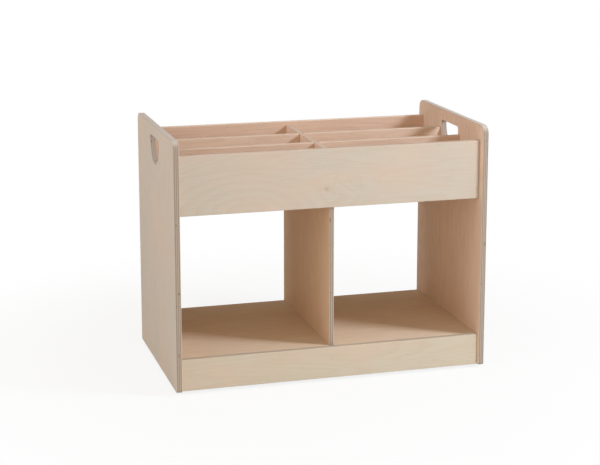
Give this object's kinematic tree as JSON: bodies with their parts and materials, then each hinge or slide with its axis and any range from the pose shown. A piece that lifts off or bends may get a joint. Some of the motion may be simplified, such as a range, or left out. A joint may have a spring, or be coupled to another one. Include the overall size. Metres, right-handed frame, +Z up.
{
  "type": "book trolley",
  "caption": "Low plywood book trolley with open-topped bins for picture books, open shelf bays below, a hand hole in each side panel and concealed swivel castors.",
  "frame": {"origin": "on the floor under the middle of the trolley", "axes": "+X along the long side to the right seen from the front, +Y to the back, +Z up"},
  "size_m": [0.8, 0.46, 0.628],
  "materials": {
    "birch_plywood": "clear matt lacquer over birch veneer",
    "beech_dowel": "plain beech",
    "plated_steel": "bright zinc plate",
    "wheel_plastic": "moulded grey polypropylene",
    "wheel_tread": "soft grey tread"
  },
  "bodies": {
    "cabinet": {"left_side_panel": "birch_plywood", "right_side_panel": "birch_plywood", "front_bin_panel": "birch_plywood", "back_bin_panel": "birch_plywood", "bin_floor": "birch_plywood", "centre_bin_divider": "birch_plywood", "front_row_divider": "birch_plywood", "back_row_divider": "birch_plywood", "centre_partition": "birch_plywood", "base_shelf": "birch_plywood", "front_plinth": "birch_plywood", "back_plinth": "birch_plywood", "dowel_back_panel_left_lower": "beech_dowel", "dowel_back_panel_left_upper": "beech_dowel", "dowel_back_panel_right_lower": "beech_dowel", "dowel_back_panel_right_upper": "beech_dowel", "dowel_back_plinth_left_lower": "beech_dowel", "dowel_back_plinth_left_upper": "beech_dowel", "dowel_back_plinth_right_lower": "beech_dowel", "dowel_back_plinth_right_upper": "beech_dowel", "dowel_front_panel_left_lower": "beech_dowel", "dowel_front_panel_left_upper": "beech_dowel", "dowel_front_panel_right_lower": "beech_dowel", "dowel_front_panel_right_upper": "beech_dowel", "dowel_front_plinth_left_lower": "beech_dowel", "dowel_front_plinth_left_upper": "beech_dowel", "dowel_front_plinth_right_lower": "beech_dowel", "dowel_front_plinth_right_upper": "beech_dowel", "dowel_partition_foot_back": "beech_dowel", "dowel_partition_foot_front": "beech_dowel", "dowel_partition_head_back": "beech_dowel", "dowel_partition_head_front": "beech_dowel", "dowel_shelf_left_back": "beech_dowel", "dowel_shelf_left_front": "beech_dowel", "dowel_shelf_right_back": "beech_dowel", "dowel_shelf_right_front": "beech_dowel", "front_left_castor_plate": "plated_steel", "front_left_castor_kingpin": "plated_steel", "front_right_castor_plate": "plated_steel", "front_right_castor_kingpin": "plated_steel", "back_left_castor_plate": "plated_steel", "back_left_castor_kingpin": "plated_steel", "back_right_castor_plate": "plated_steel", "back_right_castor_kingpin": "plated_steel"},
    "front_left_fork": {"front_left_castor_fork": "plated_steel", "front_left_castor_axle": "plated_steel"},
    "front_left_wheel": {"front_left_wheel_core": "wheel_plastic", "front_left_tyre": "wheel_tread"},
    "front_right_fork": {"front_right_castor_fork": "plated_steel", "front_right_castor_axle": "plated_steel"},
    "front_right_wheel": {"front_right_wheel_core": "wheel_plastic", "front_right_tyre": "wheel_tread"},
    "back_left_fork": {"back_left_castor_fork": "plated_steel", "back_left_castor_axle": "plated_steel"},
    "back_left_wheel": {"back_left_wheel_core": "wheel_plastic", "back_left_tyre": "wheel_tread"},
    "back_right_fork": {"back_right_castor_fork": "plated_steel", "back_right_castor_axle": "plated_steel"},
    "back_right_wheel": {"back_right_wheel_core": "wheel_plastic", "back_right_tyre": "wheel_tread"}
  },
  "joints": [
    {"name": "front_left_swivel", "type": "hinge", "parent": "cabinet", "child": "front_left_fork", "pos_m": [-0.31, -0.13, 0.065], "axis": [0, 0, 1], "continuous": true},
    {"name": "front_left_roll", "type": "hinge", "parent": "front_left_fork", "child": "front_left_wheel", "pos_m": [-0.332, -0.13, 0.02484], "axis": [0, 1, 0], "continuous": true},
    {"name": "front_right_swivel", "type": "hinge", "parent": "cabinet", "child": "front_right_fork", "pos_m": [0.31, -0.13, 0.065], "axis": [0, 0, 1], "continuous": true},
    {"name": "front_right_roll", "type": "hinge", "parent": "front_right_fork", "child": "front_right_wheel", "pos_m": [0.288, -0.13, 0.02484], "axis": [0, 1, 0], "continuous": true},
    {"name": "back_left_swivel", "type": "hinge", "parent": "cabinet", "child": "back_left_fork", "pos_m": [-0.31, 0.13, 0.065], "axis": [0, 0, 1], "continuous": true},
    {"name": "back_left_roll", "type": "hinge", "parent": "back_left_fork", "child": "back_left_wheel", "pos_m": [-0.332, 0.13, 0.02484], "axis": [0, 1, 0], "continuous": true},
    {"name": "back_right_swivel", "type": "hinge", "parent": "cabinet", "child": "back_right_fork", "pos_m": [0.31, 0.13, 0.065], "axis": [0, 0, 1], "continuous": true},
    {"name": "back_right_roll", "type": "hinge", "parent": "back_right_fork", "child": "back_right_wheel", "pos_m": [0.288, 0.13, 0.02484], "axis": [0, 1, 0], "continuous": true}
  ]
}
